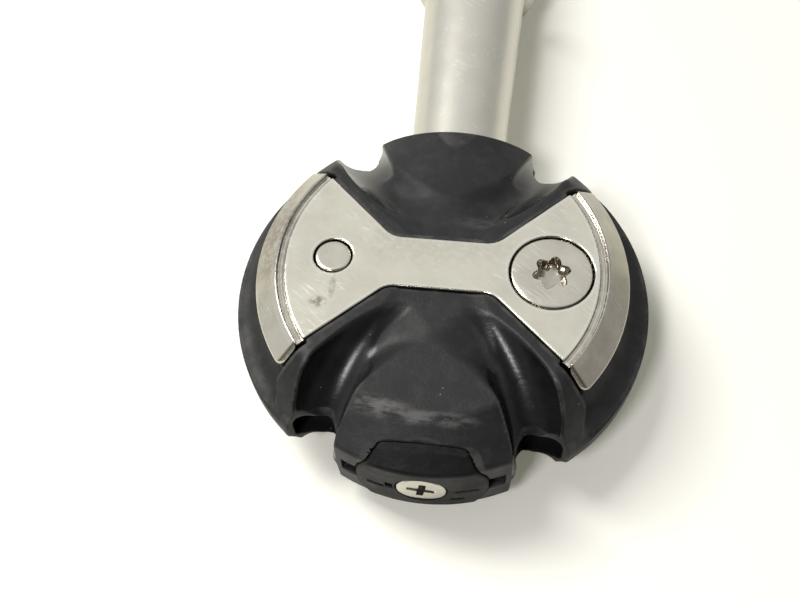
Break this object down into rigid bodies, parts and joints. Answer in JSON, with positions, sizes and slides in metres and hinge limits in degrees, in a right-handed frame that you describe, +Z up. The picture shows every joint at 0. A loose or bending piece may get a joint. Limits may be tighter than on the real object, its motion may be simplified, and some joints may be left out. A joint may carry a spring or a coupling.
{
  "type": "bicycle pedal",
  "caption": "Round double-sided clipless bicycle pedal, left side: black nylon body, bow-tie steel plates, spindle on a needle bearing and ball bearings.",
  "frame": {"origin": "centre of the crank-side face of the spindle's flange, on the spindle axis", "axes": "+Y along the spindle towards the crank, +Z up, normal to the plates; the body's middle is at y = -53 mm"},
  "size_m": [0.0476, 0.0902, 0.017],
  "materials": {
    "spindle_steel": "turned stainless steel, satin",
    "plate_steel": "stainless steel, fine brushed, scratched",
    "screw_steel": "stainless steel, worn bright",
    "black_nylon": "glass-filled nylon, semi-gloss, scuffed",
    "cap_nylon": "glass-filled nylon, satin",
    "sleeve_aluminium": "turned",
    "bearing_steel": "ground",
    "ball_steel": "polished",
    "cage_brass": "pressed",
    "dark_steel": "blackened spring steel",
    "seal_rubber": "nitrile rubber"
  },
  "bodies": {
    "spindle_group": {"spindle": "spindle_steel", "middle_bearing_inner_ring": "bearing_steel", "end_bearing_inner_ring": "bearing_steel", "end_washer": "bearing_steel", "end_bolt": "dark_steel"},
    "pedal_group": {"body_shell": "black_nylon", "bearing_sleeve": "sleeve_aluminium", "upper_plate": "plate_steel", "lower_plate": "plate_steel", "upper_plate_screw": "screw_steel", "lower_plate_screw": "screw_steel", "neck_seal": "seal_rubber", "needle_bearing_shell": "bearing_steel", "middle_bearing_outer_ring": "bearing_steel", "middle_bearing_shields": "ball_steel", "end_bearing_outer_ring": "bearing_steel", "end_bearing_shields": "ball_steel", "snap_ring": "dark_steel", "end_cap": "cap_nylon", "end_cap_o_ring": "seal_rubber", "grease_port_screw": "screw_steel"},
    "needle_group": {"needle_bearing_cage": "cage_brass", "needle_bearing_rollers": "ball_steel"},
    "middle_ball_group": {"middle_bearing_cage": "cage_brass", "middle_bearing_balls": "ball_steel"},
    "end_ball_group": {"end_bearing_cage": "cage_brass", "end_bearing_balls": "ball_steel"}
  },
  "joints": [
    {"name": "pedal_spin", "type": "hinge", "parent": "spindle_group", "child": "pedal_group", "pos_m": [0, -0.053, 0], "axis": [0, 1, 0], "continuous": true},
    {"name": "needle_cage_spin", "type": "hinge", "parent": "spindle_group", "child": "needle_group", "pos_m": [0, -0.053, 0], "axis": [0, 1, 0], "continuous": true},
    {"name": "middle_cage_spin", "type": "hinge", "parent": "spindle_group", "child": "middle_ball_group", "pos_m": [0, -0.053, 0], "axis": [0, 1, 0], "continuous": true},
    {"name": "end_cage_spin", "type": "hinge", "parent": "spindle_group", "child": "end_ball_group", "pos_m": [0, -0.053, 0], "axis": [0, 1, 0], "continuous": true}
  ],
  "couplings": [
    {"joint": "needle_cage_spin", "follows": "pedal_spin", "ratio": 0.578},
    {"joint": "middle_cage_spin", "follows": "pedal_spin", "ratio": 0.5882},
    {"joint": "end_cage_spin", "follows": "pedal_spin", "ratio": 0.5882}
  ]
}
